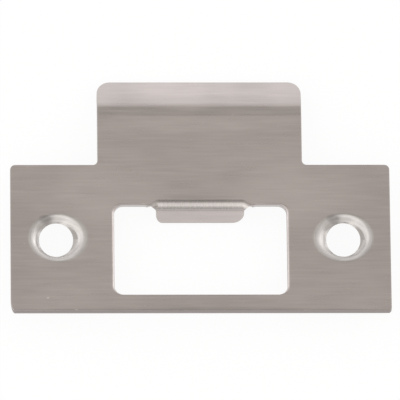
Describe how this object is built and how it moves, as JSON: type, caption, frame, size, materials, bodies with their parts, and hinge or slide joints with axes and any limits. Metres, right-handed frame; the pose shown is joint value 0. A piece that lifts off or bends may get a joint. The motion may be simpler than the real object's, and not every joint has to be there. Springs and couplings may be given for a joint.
{
  "type": "door strike plate",
  "caption": "T-shaped sheet-metal door strike plate with a sloping lip, a latch opening with a tab bent back from its upper edge, and dished screw holes.",
  "frame": {"origin": "on the plate's back face, midway between the two screw holes", "axes": "+X along the plate from screw hole to screw hole, +Y towards the lip, +Z out of the finished face"},
  "size_m": [0.0698, 0.0461, 0.0046],
  "materials": {
    "satin_nickel": "satin nickel plating with fine brushing along the plate's length"
  },
  "bodies": {
    "root": {"strike_plate": "satin_nickel"}
  },
  "joints": []
}
